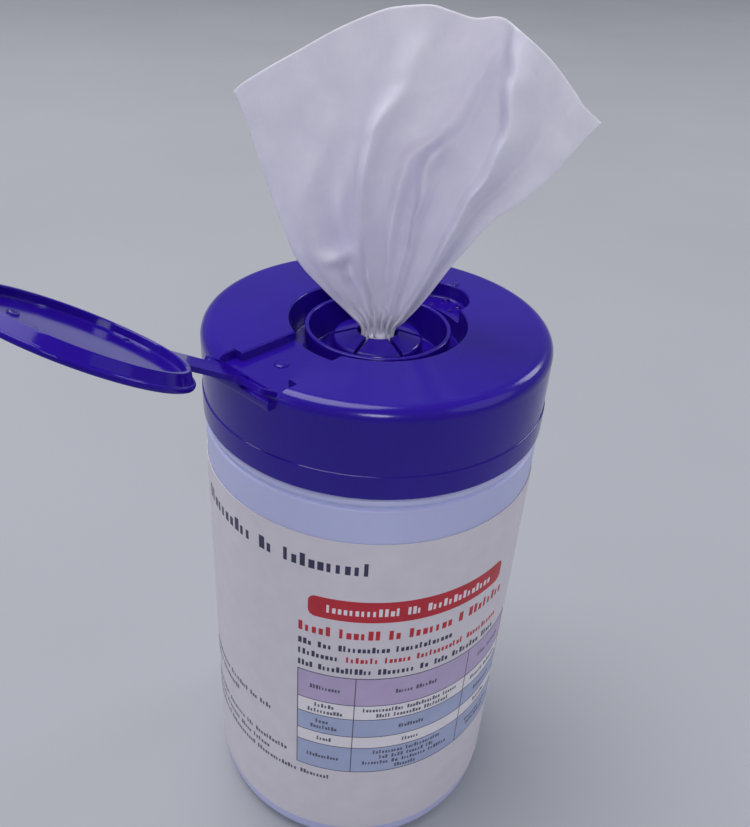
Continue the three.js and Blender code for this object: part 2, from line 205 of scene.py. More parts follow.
class Nodes:
    """Short names for the nodes that the materials use."""

    def __init__(self, name):
        self.material = bpy.data.materials.new(name)
        self.material.use_nodes = True
        self.tree = self.material.node_tree
        self.shader = self.tree.nodes["Principled BSDF"]
        self.place = self.tree.nodes.new("ShaderNodeTexCoord").outputs["Object"]

    def noise(self, scale, detail=2.0, stretch=None):
        node = self.tree.nodes.new("ShaderNodeTexNoise")
        node.inputs["Scale"].default_value = scale
        node.inputs["Detail"].default_value = detail
        vector = self.place
        if stretch:
            mapping = self.tree.nodes.new("ShaderNodeMapping")
            mapping.inputs["Scale"].default_value = stretch
            self.tree.links.new(self.place, mapping.inputs["Vector"])
            vector = mapping.outputs["Vector"]
        self.tree.links.new(vector, node.inputs["Vector"])
        return node.outputs["Fac"]

    def ramp(self, source, low, high, start=0.3, end=0.7):
        node = self.tree.nodes.new("ShaderNodeValToRGB")
        node.color_ramp.elements[0].position = start
        node.color_ramp.elements[1].position = end
        node.color_ramp.elements[0].color = (*low, 1)
        node.color_ramp.elements[1].color = (*high, 1)
        self.tree.links.new(source, node.inputs["Fac"])
        return node.outputs["Color"]

    def span(self, source, low, high, start=0.3, end=0.7):
        node = self.tree.nodes.new("ShaderNodeMapRange")
        for name, value in (("From Min", start), ("From Max", end), ("To Min", low), ("To Max", high)):
            node.inputs[name].default_value = value
        self.tree.links.new(source, node.inputs["Value"])
        return node.outputs["Result"]

    def bump(self, source, strength, distance, below=None):
        node = self.tree.nodes.new("ShaderNodeBump")
        node.inputs["Strength"].default_value = strength
        node.inputs["Distance"].default_value = distance * MM
        self.tree.links.new(source, node.inputs["Height"])
        if below:
            self.tree.links.new(below, node.inputs["Normal"])
        return node.outputs["Normal"]

    def link(self, source, name):
        self.tree.links.new(source, self.shader.inputs[name])

    def set(self, **values):
        for name, value in values.items():
            self.shader.inputs[name.replace("_", " ")].default_value = value
        return self


def srgb(red, green, blue):
    """A colour written as it looks on screen, 0 to 255."""
    def linear(value):
        value /= 255
        return value / 12.92 if value <= 0.04045 else ((value + 0.055) / 1.055) ** 2.4
    return tuple(linear(v) for v in (red, green, blue))


def cap_plastic(name, smooth, rough, gloss):
    """Deep blue injection-moulded plastic: glossy, with faint flow marks and a hair of texture."""
    nodes = Nodes(name)
    flow = nodes.noise(45, 3, (1, 1, 0.35))
    grain = nodes.noise(2600, 2)
    marks = nodes.noise(160, 4)
    nodes.link(nodes.ramp(flow, srgb(33, 8, 134), srgb(39, 12, 143)), "Base Color")
    nodes.link(nodes.span(marks, smooth, rough), "Roughness")
    nodes.link(nodes.bump(grain, 0.05, 0.02, nodes.bump(flow, 0.06, 0.25)), "Normal")
    nodes.set(IOR=1.5, Specular_IOR_Level=gloss)
    return nodes.material


def canister_plastic():
    """Blow-moulded milky plastic: bluish white, slightly waxy, with faint waves in the wall."""
    nodes = Nodes("canister_plastic")
    wave = nodes.noise(28, 2, (1, 1, 0.4))
    grain = nodes.noise(1500, 2)
    nodes.link(nodes.ramp(wave, srgb(181, 185, 224), srgb(189, 193, 230)), "Base Color")
    nodes.link(nodes.span(grain, 0.34, 0.46), "Roughness")
    nodes.link(nodes.bump(grain, 0.1, 0.06, nodes.bump(wave, 0.15, 0.4)), "Normal")
    nodes.set(Subsurface_Weight=0.25, Subsurface_Scale=0.003, IOR=1.5)
    return nodes.material


def print_film(name, low, high, rough=0.42):
    """Printed label film in one ink colour, with slight mottling and a satin coat."""
    nodes = Nodes(name)
    mottle = nodes.noise(160, 3)
    grain = nodes.noise(2200, 2)
    nodes.link(nodes.ramp(mottle, low, high), "Base Color")
    nodes.link(nodes.span(grain, rough - 0.05, rough + 0.06), "Roughness")
    nodes.link(nodes.bump(grain, 0.08, 0.04, nodes.bump(mottle, 0.06, 0.12)), "Normal")
    nodes.set(IOR=1.5)
    return nodes.material


def cloth(name, low, high, glow):
    """Thin moist nonwoven: fine random fibres, faint clouding, light passing through."""
    nodes = Nodes(name)
    cloud = nodes.noise(110, 4)
    fibre = nodes.noise(1300, 6, (1.0, 1.0, 0.22))
    cross = nodes.noise(1700, 5, (0.25, 1.0, 1.0))
    nodes.link(nodes.ramp(cloud, low, high), "Base Color")
    nodes.link(nodes.span(cloud, 0.72, 0.88), "Roughness")
    nodes.link(nodes.bump(fibre, 0.3, 0.12, nodes.bump(cross, 0.25, 0.12)), "Normal")
    nodes.set(Subsurface_Weight=glow, Subsurface_Scale=0.004, Sheen_Weight=0.15)
    nodes.shader.inputs["Subsurface Radius"].default_value = (1.0, 0.9, 1.0)
    return nodes.material


def water():
    """Clear drops with a barely uneven surface."""
    nodes = Nodes("water_drop")
    film = nodes.noise(900, 2)
    nodes.link(nodes.span(film, 0.0, 0.03), "Roughness")
    nodes.set(Transmission_Weight=1.0, IOR=1.33)
    nodes.shader.inputs["Base Color"].default_value = (1.0, 1.0, 1.0, 1)
    return nodes.material


# Canister, its label and the roll inside

def make_canister(material):
    wall = 1.3
    heel = 5.0
    shoulder = 142.2
    groove = 0.9
    neck = 43.9
    outer = CANISTER_RADIUS
    profile = [
        (0, 0), (10.8, 0), *arc(11.4, 0.4, 0.4, 180, 90, 3), (36.8, 0.8), (37.8, 0),
        *arc(outer - heel, heel, heel, -90, 0, 12),
        (outer, 137.6), *arc(outer - 0.7, 138.3, 0.7, 0, 40, 3),
        (outer - groove, 139.1), (outer - groove, 139.4),
        *arc(outer - 1.0, 140.75, 1.0, -60, 60, 8),
        (outer - groove, 141.9), (outer - groove - 0.3, shoulder), (neck, shoulder),
        (neck, 151.8), (neck + 0.6, 152.6), (neck + 0.6, 153.4), (neck, 154.2),
        (neck, 162.6), *arc(neck - 0.4, 162.6, 0.4, 0, 90, 3),
        (neck - 1.1, 163.0), (neck - 1.5, 162.6), (neck - 1.5, shoulder - wall),
        (outer - wall, 136.6),
        *arc(outer - heel, heel + wall, heel - wall, 0, -90, 8), (0, 2.6),
    ]
    item = finish_surface(revolved("canister_bottle", profile))
    return give(item, material, "canister_body", "canister_plastic", "canister")


def wrapped(name, patches, thickness):
    """Thin closed patches bent round the canister: each is (left, right, bottom, top, corner radius)."""
    vertices, faces = [], []
    for left, right, bottom, top, corner in patches:
        width = right - left
        columns = max(2, int(math.ceil(width / 1.6)))
        marks = {left + width * i / columns for i in range(columns + 1)}
        if corner > 0:
            for i in range(7):
                step = corner * (1 - math.cos(math.pi / 2 * i / 6))
                marks |= {left + step, right - step}
        marks = sorted(marks)
        first = len(vertices)
        for mark in marks:
            edge = min(mark - left, right - mark)
            trim = 0.0
            if corner > 0 and edge < corner:
                trim = corner - math.sqrt(max(corner ** 2 - (corner - edge) ** 2, 0))
            angle = mark / LABEL_RADIUS - math.pi / 2
            for radius in (LABEL_RADIUS + thickness, LABEL_RADIUS):
                for height in (bottom + trim, top - trim):
                    vertices.append((radius * math.cos(angle), radius * math.sin(angle), height))
        for i in range(len(marks) - 1):
            a, b = first + 4 * i, first + 4 * (i + 1)
            faces += [(a, b, b + 1, a + 1), (a + 2, a + 3, b + 3, b + 2),
                      (a + 1, b + 1, b + 3, a + 3), (a, a + 2, b + 2, b)]
        a, b = first, first + 4 * (len(marks) - 1)
        faces += [(a, a + 1, a + 3, a + 2), (b, b + 2, b + 3, b + 1)]
    return mesh_object(name, vertices, faces)


def make_label(material):
    inner, outer = CANISTER_RADIUS + 0.1, LABEL_RADIUS
    seam = 0.4 / outer
    columns = 240
    vertices, faces = [], []
    start = math.pi / 2 + seam
    sweep = 2 * math.pi - 2 * seam
    for i in range(columns + 1):
        angle = start + sweep * i / columns
        for radius in (inner, outer):
            for height in (LABEL_BOTTOM, LABEL_TOP):
                vertices.append((radius * math.cos(angle), radius * math.sin(angle), height))
    for i in range(columns):
        a, b = 4 * i, 4 * (i + 1)
        faces += [(a + 2, b + 2, b + 3, a + 3), (a, a + 1, b + 1, b),
                  (a + 1, a + 3, b + 3, b + 1), (a, b, b + 2, a + 2)]
    a, b = 0, 4 * columns
    faces += [(a, a + 2, a + 3, a + 1), (b, b + 1, b + 3, b + 2)]
    item = finish_surface(mesh_object("label_wrap", vertices, faces))
    return give(item, material, "canister_body", "label_print", "label")


def word_bars(left, right, words, gap):
    """Start and end of each word of a printed line, with lengths that follow the given shares."""
    total = sum(words)
    room = (right - left) - gap * (len(words) - 1)
    bars, at = [], left
    for share in words:
        length = room * share / total
        bars.append((at, at + length))
        at += length + gap
    return bars


def letter_blocks(left, right, middle, height, words, gap):
    """A printed line of words, each a row of small plain blocks on one base line."""
    draw = random.Random(round(left * 31 + middle * 7))
    bottom = middle - height / 2
    blocks = []
    for start, end in word_bars(left, right, words, gap):
        count = max(1, round((end - start) / (0.58 * height)))
        pitch = (end - start) / count
        for i in range(count):
            rise = height if i == 0 else height * draw.choice((0.68, 0.68, 0.68, 1.0))
            width = pitch * draw.choice((0.45, 0.6, 0.7))
            blocks.append((start + i * pitch, start + i * pitch + width, bottom, bottom + rise, 0))
    return blocks


def make_print():
    """Generic label layout: a heading, a banner, text bars and a small table, all plain shapes."""
    navy = print_film("ink_navy", srgb(40, 38, 72), srgb(48, 46, 82))
    red = print_film("ink_red", srgb(176, 22, 40), srgb(188, 28, 48))
    white = print_film("ink_white", srgb(222, 218, 224), srgb(230, 226, 232))
    lavender = print_film("ink_lavender", srgb(176, 160, 196), srgb(184, 168, 204))
    slate = print_film("ink_slate", srgb(158, 168, 202), srgb(166, 176, 210))
    dark = print_film("ink_grey", srgb(72, 72, 92), srgb(82, 82, 102))
    flat, raised = 0.03, 0.06
    layers = []

    # Heading and banner
    layers.append((navy, flat, letter_blocks(-55, 3, 120.2, 4.2, (11, 2.4, 11), 2.6)))
    layers.append((red, flat, [(-13.6, 45.5, 101.6, 109.0, 2.2)]))
    layers.append((white, raised, letter_blocks(-8.5, 40.5, 105.3, 2.7, (10, 2, 11), 1.6)))

    # Lines of text under the banner
    layers.append((red, flat, letter_blocks(-16.2, 48.5, 96.8, 3.4, (5, 6, 2, 7, 1, 8), 1.7)))
    layers.append((navy, flat, letter_blocks(-16.2, 28, 91.2, 2.2, (3, 3, 10, 12), 1.4)))
    layers.append((navy, flat, letter_blocks(-16.2, -4.4, 87.0, 2.2, (7,), 1.4)))
    layers.append((red, flat, letter_blocks(-2.6, 47.5, 87.0, 2.2, (6, 5, 10, 9), 1.4)))
    layers.append((navy, flat, letter_blocks(-16.2, 47, 82.5, 2.2, (3, 10, 7, 2, 3, 7, 4), 1.4)))

    # Table: rows of pale fills, then grid lines
    left, right = -16.2, 57.0
    columns = (left, 0.5, 36.0, right)
    rows = (79.6, 68.2, 62.0, 54.2, 49.0, 37.5)
    fills = (lavender, white, slate, white, slate)
    for i, fill in enumerate(fills):
        layers.append((fill, flat, [(left, right, rows[i + 1], rows[i], 0)]))
    rule = 0.13
    grid = [(left, right, row - rule, row + rule, 0) for row in rows]
    grid += [(column - rule, column + rule, rows[-1], rows[0], 0) for column in columns]
    layers.append((dark, raised, grid))

    # Text of each row's three cells: lines of (start, end, word lengths)
    cells = (
        (0, ((-12.5, -3.5, (5,)),), ((12, 25, (3, 4)),), ((41, 53, (3, 5)),)),
        (1, ((-11, -5, (4,)), (-13, -2.5, (9,))),
         ((3, 33, (9, 8, 4)), (7, 30, (3, 6, 6))),
         ((39, 54, (4, 5)),)),
        (2, ((-10.5, -6.5, (3,)), (-12, -4, (6,))), ((14, 22, (5,)),), ((42, 51, (4,)),)),
        (3, ((-10, -5.5, (3,)),), ((15.5, 21, (4,)),), ((43, 50, (4,)),)),
        (4, ((-13, -3, (8,)),),
         ((7, 29, (7, 9)), (9, 27, (3, 4, 6, 3)), (4, 32, (7, 2, 7, 6)), (14, 21, (4,))),
         ((40, 54, (5, 3)), (41, 52, (4,)))),
    )
    line_step, cell_text, cell_gap = 2.5, 1.6, 0.9
    bars = []
    for row, *groups in cells:
        for group in groups:
            middle = (rows[row] + rows[row + 1]) / 2
            for line, (start, end, words) in enumerate(group):
                offset = (len(group) - 1) / 2 - line
                bars += letter_blocks(start, end, middle + offset * line_step, cell_text, words, cell_gap)
    layers.append((dark, raised, bars))

    # Small print to the lower left and on the back: start, end, height, word lengths
    small = [
        (-60, -25, 56.6, (9, 6, 2, 3)), (-62, -40, 52.6, (4, 5)), (-60, -19.5, 41.6, (8, 6, 2, 8)),
        (-61, -26, 37.6, (6, 5, 3, 4)), (-60, -5.5, 33.6, (7, 7, 8, 5)),
        (78, 128, 108, (8, 5, 9)), (78, 120, 101, (4, 9, 6)), (78, 124, 96.5, (7, 5, 8, 3)),
        (78, 112, 92, (9, 4, 5)), (78, 126, 84, (5, 7, 4, 8)), (78, 118, 79.5, (8, 6, 4)),
        (78, 122, 75, (6, 3, 9, 4)), (78, 108, 70.5, (7, 6)),
        (-128, -80, 108, (9, 6, 8)), (-128, -86, 100, (5, 8, 4)), (-128, -82, 95.5, (8, 4, 7, 3)),
        (-128, -92, 91, (6, 8)), (-128, -84, 83, (4, 7, 6, 5)), (-128, -88, 78.5, (9, 5, 4)),
    ]
    small_text, small_gap = 1.9, 1.1
    bars = []
    for start, end, middle, words in small:
        bars += letter_blocks(start, end, middle, small_text, words, small_gap)
    layers.append((dark, flat, bars))

    for number, (ink, lift, patches) in enumerate(layers):
        item = wrapped(f"label_print_{number:02d}", patches, lift)
        give(item, ink, "canister_body", "label_print")


def make_roll(material):
    """The wound roll: every turn shows as a ridge on both ends, slightly uneven."""
    bottom, top = 2.9, 152.9
    radius, core, pitch = 40.0, 12.0, 0.7
    turns = int((radius - core) / pitch)
    draw = random.Random(4)
    heights = [draw.uniform(-0.35, 0.0) for _ in range(turns)]
    profile = []
    for i in range(turns):
        inner = core + i * pitch
        profile += [(inner, bottom + 0.3), (inner + pitch / 2, bottom)]
    profile += [(radius, bottom + 0.4), (radius + 0.2, bottom + 20), (radius, bottom + 75)]
    profile += [(radius + 0.2, top - 30), (radius, top - 0.6)]
    for i in reversed(range(turns)):
        inner = core + i * pitch
        profile += [(inner + pitch * 0.6, top + heights[i]), (inner, top - 0.5 + heights[i])]
    item = revolved("roll_turns", profile, 96)
    finish_surface(item, 60)
    return give(item, material, "canister_body", "roll_cloth", "wipes_roll")


# Cap

def chamfered_cut(name, half_width, floor, start, end, flare=0.35):
    """A straight cutter whose mouth flares at the deck."""
    lip = CAP_TOP - flare
    outline = [(-half_width, floor), (half_width, floor), (half_width, lip),
               (half_width + 3 * flare, CAP_TOP + 2 * flare), (-half_width - 3 * flare, CAP_TOP + 2 * flare),
               (-half_width, lip)]
    return turned(prism(name, outline, start, end, "x"), HINGE_ANGLE)


def drum(name, radius, bottom, top, distance=0.0, angle=0.0, flare=0.0):
    profile = [(0, bottom), (radius - 0.8, bottom), *arc(radius - 0.8, bottom + 0.8, 0.8, -90, 0, 5)]
    if flare:
        profile += [(radius, CAP_TOP - flare), (radius + 3 * flare, CAP_TOP + 2 * flare)]
    profile += [(radius + 3 * flare, top), (0, top)]
    item = revolved(name, profile, 128)
    item.data.transform(Matrix.Translation((distance * MM, 0, 0)))
    return turned(item, angle)


def make_cap(material):
    upper = CAP_RADIUS - 0.3
    edge = 3.6
    top = CAP_TOP
    inner = 45.5

    # Skirt, deck edge, well, spout ring and domed star, then back along the underside
    profile = [
        (CAP_RADIUS - 0.3, CAP_BOTTOM), (CAP_RADIUS, CAP_BOTTOM + 0.3), (CAP_RADIUS, 148.9),
        (CAP_RADIUS - 0.1, 149.1), (upper, 149.2),
        *arc(upper - edge, top - edge, edge, 0, 90, 14),
        *arc(WELL_RADIUS + 0.6, top - 0.6, 0.6, 90, 180, 5),
        (WELL_RADIUS, 158.1), *arc(WELL_RADIUS - 0.6, 158.1, 0.6, 0, -90, 3),
        (RING_RADIUS + 0.4, 157.5), (RING_RADIUS, 157.9),
        *arc(RING_RADIUS - 0.4, 164.6, 0.4, 0, 90, 4),
        *arc(RING_RADIUS - 0.8, 164.6, 0.4, 90, 180, 4),
        (RING_RADIUS - 1.2, 155.6), *arc(RING_RADIUS - 1.8, 155.6, 0.6, 0, -90, 3),
        (13.4, 155.0), (12.8, 155.4),
        *arc(10.7, 160.6, 1.5, 0, 62, 6),
        (8.6, 162.75), (6.4, 163.4), *arc(5.9, 163.0, 0.5, 75, 180, 4),
        (5.4, 162.3), (10.2, 160.6), (11.4, 153.4), (20.8, 153.4), (20.8, 156.1), (25.1, 156.1),
        (25.1, 165.4), (42.0, 165.4), (42.0, 163.3), (inner, 163.3),
        (inner, 147.7), (inner - 0.5, 146.4), (inner - 0.5, 145.1), (inner, 143.8),
        (inner, CAP_BOTTOM + 0.3), (inner + 0.3, CAP_BOTTOM),
    ]
    cap = revolved("cap_moulding", profile)

    # Backing under the channel, the hinge notch and the finger scoop, outside the well
    channel_half, notch_half, backing = 8.4, 11.0, 1.4
    scoop_radius, scoop_distance, scoop_angle = 10.5, 21.5, 47.0
    deck_inside = 166.2
    core = (24.4, 140, 172)
    for half, start in ((channel_half + backing, 20.0), (notch_half + backing, 38.0)):
        outline = [(-half, 163.3), (half, 163.3), (half, deck_inside), (-half, deck_inside)]
        back = turned(prism("back", outline, start, 43.0, "x"), HINGE_ANGLE)
        cap = combine(cap, combine(back, drum("core", *core), "DIFFERENCE"), "UNION")
    scoop_back = drum("scoop_back", scoop_radius + backing, 161.1, deck_inside, scoop_distance, scoop_angle)
    cap = combine(cap, combine(scoop_back, drum("core", *core), "DIFFERENCE"), "UNION")

    # Rounded lip under the hinge
    lip = [(inner, 162.4), (47.2, 162.4), (47.55, 162.6), (47.7, 163.0),
           (47.7, 164.0), (47.5, 164.4), (47.1, 164.55), (inner, 164.55)]
    lip_item = prism("hinge_lip", lip, -10.3, 10.3)
    lip_item.data.transform(Matrix.Rotation(math.radians(90), 4, "X"))
    cap = combine(cap, turned(lip_item, HINGE_ANGLE), "UNION")

    # Channel, notch, finger scoop and the slots between the petals
    beyond = 49.0
    cap = combine(cap, chamfered_cut("channel", channel_half, CHANNEL_FLOOR, 21.0, beyond), "DIFFERENCE")
    cap = combine(cap, chamfered_cut("notch", notch_half, CHANNEL_FLOOR + 0.02, 39.6, beyond), "DIFFERENCE")
    scoop = drum("scoop", scoop_radius, SCOOP_FLOOR, 172, scoop_distance, scoop_angle, 0.35)
    cap = combine(cap, combine(scoop, drum("keep", 21.6, 140, 175), "DIFFERENCE"), "DIFFERENCE")
    narrow, wide = 0.45, 0.75
    outline = [(-narrow, 155.3), (narrow, 155.3), (narrow, 160.0),
               (wide, 167.0), (-wide, 167.0), (-narrow, 160.0)]
    for i in range(6):
        slot = turned(prism("slot", outline, 2.6, 14.0, "x"), 3 + 60 * i)
        cap = combine(cap, slot, "DIFFERENCE")
    finish_surface(cap)
    return give(cap, material, "cap_body", "cap_plastic", "cap")


def dome(name, places, squat, sides=20):
    """Small round domes: each place is (centre, outward direction, radius)."""
    vertices, faces = [], []
    for centre, outward, radius in places:
        normal = Vector(outward).normalized()
        across = normal.orthogonal().normalized()
        other = normal.cross(across)
        first = len(vertices)
        rows = 7
        for j in range(rows):
            bend = math.radians(-30 + 120 * j / rows)
            for i in range(sides):
                turn = 2 * math.pi * i / sides
                ring = radius * math.cos(bend) ** 0.6
                point = Vector(centre) + ring * (math.cos(turn) * across + math.sin(turn) * other)
                vertices.append(point + normal * squat * radius * math.sin(bend))
        vertices.append(Vector(centre) + normal * squat * radius)
        peak = len(vertices) - 1
        for j in range(rows - 1):
            for i in range(sides):
                k = (i + 1) % sides
                a, b = first + j * sides, first + (j + 1) * sides
                faces.append((a + i, a + k, b + k, b + i))
        last = first + (rows - 1) * sides
        faces += [(last + i, last + (i + 1) % sides, peak) for i in range(sides)]
        faces.append([first + i for i in reversed(range(sides))])
    return finish_surface(mesh_object(name, vertices, faces), 70)


# Flip lid, built shut and then swung open about its hinge

def swing_open(item):
    hinge = Matrix.Translation(Vector((HINGE_RADIUS, 0, HINGE_LEVEL)) * MM)
    swing = hinge @ Matrix.Rotation(math.radians(LID_OPENING), 4, "Y") @ hinge.inverted()
    item.data.transform(Matrix.Rotation(math.radians(HINGE_ANGLE), 4, "Z") @ swing)
    return item


def make_lid(material):
    top = LID_TOP
    plate = LID_PLATE_LEVEL
    rim = top - LID_HEIGHT
    inner, outer, foot, edge = 19.9, 21.0, 22.0, 22.8
    profile = [
        (0, plate), (inner - 0.4, plate), (inner, plate - 0.4), (inner, rim + 0.3), (inner + 0.25, rim),
        (outer - 0.25, rim), (outer, rim + 0.3), (foot, plate - 0.2), (foot + 0.2, plate),
        (edge - 0.3, plate), *arc(edge - 0.45, plate + 0.45, 0.45, -60, 0, 3),
        *arc(edge - 0.6, top - 0.6, 0.6, 0, 90, 5), (0, top),
    ]
    lid = revolved("flip_lid_moulding", profile)

    bar = HINGE_RADIUS - 5.2
    side = [(20.5, -5.0), (bar - 4.0, -5.0)]
    side += [(bar - 4.0 + 4.0 * t, -5.0 - 3.0 * t ** 2) for t in (0.25, 0.5, 0.75, 1.0)]
    side += [(bar + 0.4, -9.9), (bar + 0.9, -10.3), (HINGE_RADIUS, -10.3)]
    outline = side + [(x, -y) for x, y in reversed(side)]
    low, high = HINGE_LEVEL - 0.6, HINGE_LEVEL + 0.6
    strap = prism("strap", outline, low, high)
    for sign in (-1, 1):
        window = [(bar + 1.4, 1.4), (HINGE_RADIUS - 0.8, 1.4), (HINGE_RADIUS - 0.8, 8.6),
                  (HINGE_RADIUS - 1.1, 8.9), (bar + 1.9, 8.9), (bar + 1.4, 8.4)]
        if sign < 0:
            window = [(x, -y) for x, y in reversed(window)]
        strap = combine(strap, prism("window", window, low - 1, high + 1), "DIFFERENCE")
    round_bar = []
    for i in range(16):
        bend = math.pi * i / 8
        round_bar.append((HINGE_RADIUS + 0.6 * math.cos(bend), 0.6 * math.sin(bend)))
    bead = prism("bead", round_bar, -10.3, 10.3)
    lying = Matrix.Rotation(math.radians(90), 4, "X")
    bead.data.transform(Matrix.Translation((0, 0, HINGE_LEVEL * MM)) @ lying)
    strap = combine(strap, bead, "UNION")
    lid = combine(lid, strap, "UNION")

    # Two small webs between wall and plate, beside the strap
    root, web_top = 20.4, plate + 0.4
    outline = [(root, rim + 0.5), (outer, rim + 0.5), (edge - 0.3, plate),
               (edge - 0.3, web_top), (root, web_top)]
    for sign in (-1, 1):
        gusset = prism("gusset", outline, -0.55, 0.55)
        gusset.data.transform(lying)
        lid = combine(lid, turned(gusset, sign * math.degrees(8.2 / 21)), "UNION")
    finish_surface(lid)
    swing_open(lid)
    return give(lid, material, "lid_body", "lid_plastic", "flip_lid")


def make_drops(plastic, liquid):
    """Drops in and beside the finger scoop and inside the lid, and the small pip in the channel."""
    up = (0, 0, 1)
    floor = SCOOP_FLOOR
    drops = [((19.5, 23.6, floor), up, 1.2), ((22.6, 19.2, floor), up, 1.1), ((20.2, 16.6, floor), up, 0.8),
             ((15.1, 20.0, floor), up, 1.0), ((21.9, 25.2, CAP_TOP), up, 1.0),
             ((18.0, 20.4, floor), up, 0.6)]
    give(dome("cap_drops", drops, 0.5), liquid, "cap_body", "cap_plastic")
    pip = dome("cap_pip", [((-22.7, -24.7, CHANNEL_FLOOR), up, 1.9)], 0.28)
    give(pip, plastic, "cap_body", "cap_plastic")
    down = (0, 0, -1)
    places = ((-10.5, -5.9, 1.2), (-16.2, 2.1, 1.1), (-12.3, 4.5, 1.2), (16.6, -8.2, 0.7))
    drops = [((x, y, LID_PLATE_LEVEL), down, radius) for x, y, radius in places]
    lid_drops = dome("lid_drops", drops, 0.6)
    give(swing_open(lid_drops), liquid, "lid_body", "lid_plastic")


# Pulled wipe: outline of the fan seen from the front, x across and z up

WIPE_THICKNESS = 0.3
FAN_LEFT = [(-4.3, 161.0), (-4.6, 164.0), (-7.9, 167.5), (-14.8, 174.0), (-21.6, 181.5), (-25.9, 191.5),
            (-29.2, 200.5), (-32.2, 210.0), (-34.9, 217.8), (-36.8, 221.7)]
FAN_RIGHT = [(4.3, 161.0), (4.7, 164.0), (7.2, 166.6), (11.8, 173.0), (17.8, 183.0), (21.9, 189.0),
             (26.5, 195.2), (33.0, 200.6), (40.0, 208.6), (45.6, 216.8), (48.4, 220.2)]
FAN_TOP = [(-36.8, 221.7), (-32.9, 224.8), (-21.5, 231.6), (-13.2, 236.4), (-6.3, 239.6), (-1.0, 241.4),
           (6.6, 242.3), (11.0, 241.5), (16.6, 240.3), (21.9, 240.8), (25.5, 239.2), (34.2, 233.2),
           (41.0, 226.6), (43.6, 223.8), (48.4, 220.2)]

# Gathered tail: (radius, height) of its rounds, and how far it is pressed flat
TAIL_PROFILE = [(1.6, 137.2), (2.5, 137.6), (2.8, 140.0), (2.6, 147.0), (2.9, 154.0),
                (3.9, 160.5), (4.2, 162.0), (3.6, 163.0), (1.6, 163.6)]
TAIL_SIDES = 72
TAIL_FLATNESS = 0.92

# Point in front of the pack that the folds rise towards
FOLD_FOCUS = Vector((0.0, -196.0, 262.0))

# Long folds as knots of (along, across, height, width to the left, width to the right)
LONG_FOLDS = (
    ((0.0, 0.40, 1.2, 0.05, 0.06), (0.26, 0.395, 4.0, 0.03, 0.08), (0.41, 0.39, 6.0, 0.022, 0.085),
     (0.56, 0.385, 7.2, 0.02, 0.09), (0.68, 0.40, 7.2, 0.03, 0.11), (0.82, 0.48, 6.4, 0.07, 0.1),
     (1.0, 0.54, 5.4, 0.1, 0.08)),
    ((0.0, 0.56, -1.0, 0.05, 0.05), (0.41, 0.545, -3.4, 0.035, 0.04), (0.6, 0.55, -4.2, 0.03, 0.045),
     (0.74, 0.645, -3.6, 0.035, 0.05), (1.0, 0.7, -2.2, 0.045, 0.04)),
    ((0.0, 0.7, 0.6, 0.03, 0.04), (0.3, 0.7, 2.4, 0.02, 0.04), (0.45, 0.665, 3.4, 0.018, 0.045),
     (0.6, 0.62, 2.6, 0.02, 0.05), (0.72, 0.61, 0.0, 0.04, 0.05), (1.0, 0.61, 0.0, 0.04, 0.05)),
    ((0.0, 0.9, 1.6, 0.05, 0.1), (0.27, 0.9, 5.4, 0.022, 0.1), (0.45, 0.875, 8.0, 0.02, 0.12),
     (0.6, 0.85, 9.4, 0.018, 0.15), (0.75, 0.815, 9.6, 0.016, 0.18), (0.88, 0.76, 7.4, 0.022, 0.17),
     (1.0, 0.72, 5.0, 0.03, 0.15)),
    ((0.0, 0.1, 0.8, 0.1, 0.1), (0.3, 0.1, 2.8, 0.07, 0.09), (0.55, 0.14, 2.4, 0.07, 0.1),
     (0.75, 0.24, 1.6, 0.1, 0.1), (1.0, 0.32, 1.2, 0.12, 0.12)),
    ((0.0, 0.985, -0.6, 0.03, 0.03), (0.5, 0.985, -3.0, 0.05, 0.05), (1.0, 0.985, -3.8, 0.07, 0.07)),
)

# Round hollows and bumps: along, across, height, radius along, radius across
DIMPLES = (
    (0.47, 0.27, -5.0, 0.13, 0.07),
    (0.33, 0.22, 3.2, 0.04, 0.1),
    (0.25, 0.25, -3.0, 0.045, 0.06),
    (0.2, 0.36, 2.2, 0.05, 0.03),
    (0.82, 0.12, -2.2, 0.13, 0.1),
    (0.66, 0.93, -2.0, 0.12, 0.06),
)


def along_curve(points, share):
    """Point at a share of the length of a smooth curve through the given points."""
    lengths = [0.0]
    for (x0, z0), (x1, z1) in zip(points, points[1:]):
        lengths.append(lengths[-1] + math.hypot(x1 - x0, z1 - z0))
    at = min(max(share, 0.0), 1.0) * lengths[-1]
    last = len(lengths) - 1
    i = next((k for k in range(1, last + 1) if lengths[k] >= at), last)
    t = (at - lengths[i - 1]) / (lengths[i] - lengths[i - 1])
    before, after = points[max(i - 2, 0)], points[min(i + 1, len(points) - 1)]
    p0, p1 = points[i - 1], points[i]
    result = []
    for k in (0, 1):
        m0, m1 = (p1[k] - before[k]) / 2, (after[k] - p0[k]) / 2
        result.append((2 * t ** 3 - 3 * t ** 2 + 1) * p0[k] + (t ** 3 - 2 * t ** 2 + t) * m0
                      + (3 * t ** 2 - 2 * t ** 3) * p1[k] + (t ** 3 - t ** 2) * m1)
    return Vector((result[0], 0, result[1]))


def smooth(value):
    value = min(max(value, 0.0), 1.0)
    return value * value * (3 - 2 * value)


